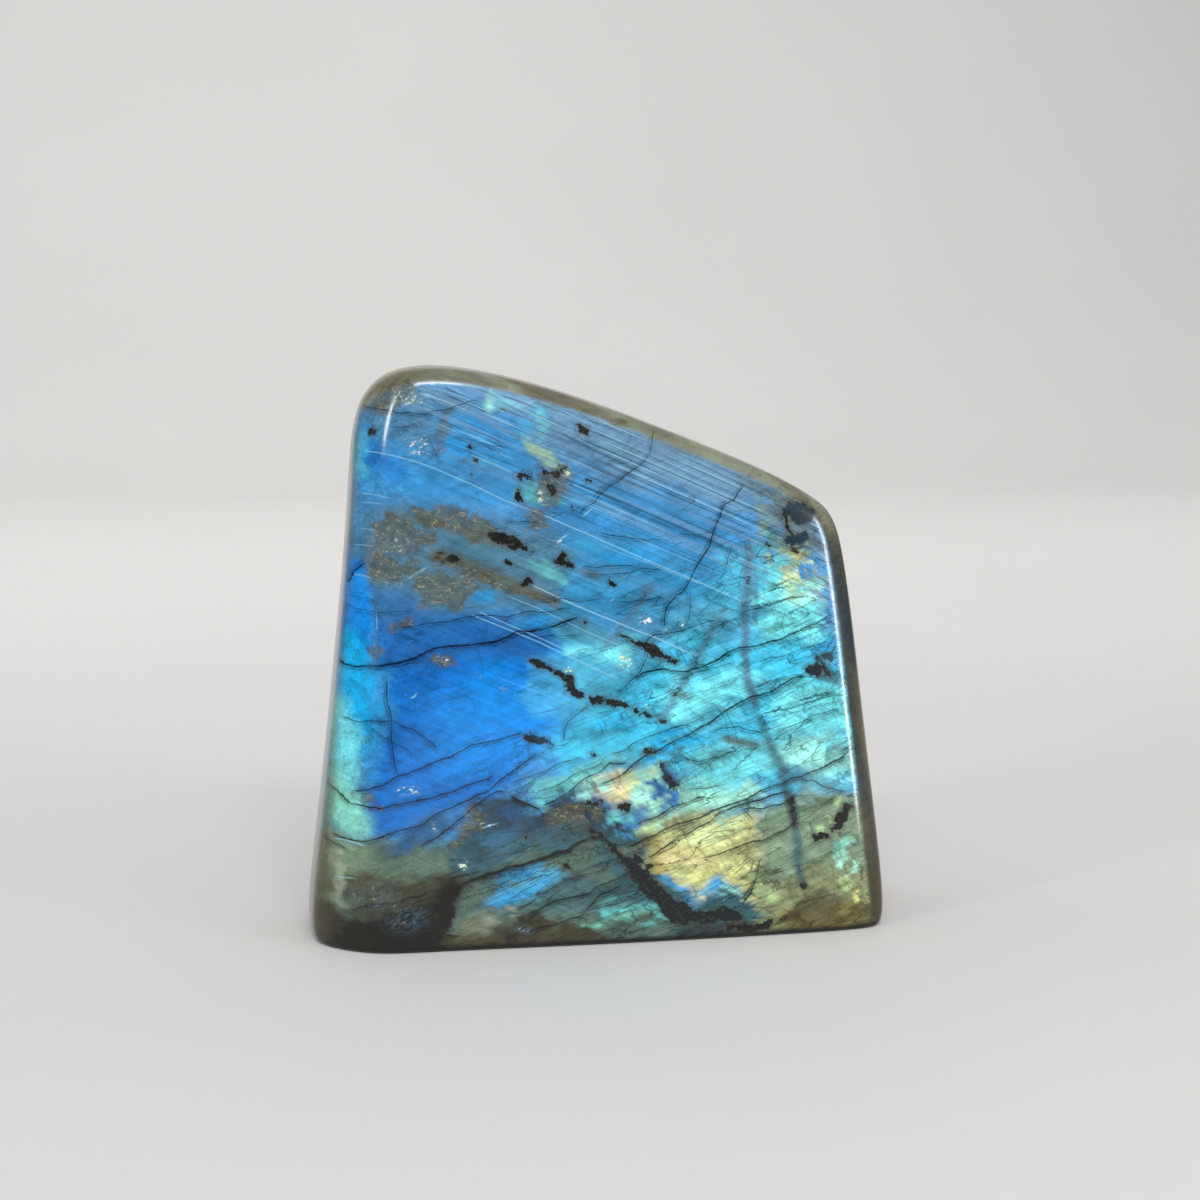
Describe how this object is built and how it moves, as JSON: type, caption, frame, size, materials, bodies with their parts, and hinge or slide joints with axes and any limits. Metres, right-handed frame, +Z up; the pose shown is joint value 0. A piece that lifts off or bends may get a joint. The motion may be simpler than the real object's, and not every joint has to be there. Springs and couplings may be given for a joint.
{
  "type": "labradorite freeform",
  "caption": "Standing polished slab of blue and green labradorite with a sloping top, rounded edges and a flat sawn foot.",
  "frame": {"origin": "middle of the stone's footprint, on the surface that it stands on", "axes": "+Z up, -Y out of the polished display face, +X along the foot towards the lower end of the sloping top"},
  "size_m": [0.1153, 0.0418, 0.1127],
  "materials": {
    "polished_labradorite": "high polish, blue to gold colour flash under the surface"
  },
  "bodies": {
    "root": {"stone": "polished_labradorite"}
  },
  "joints": []
}
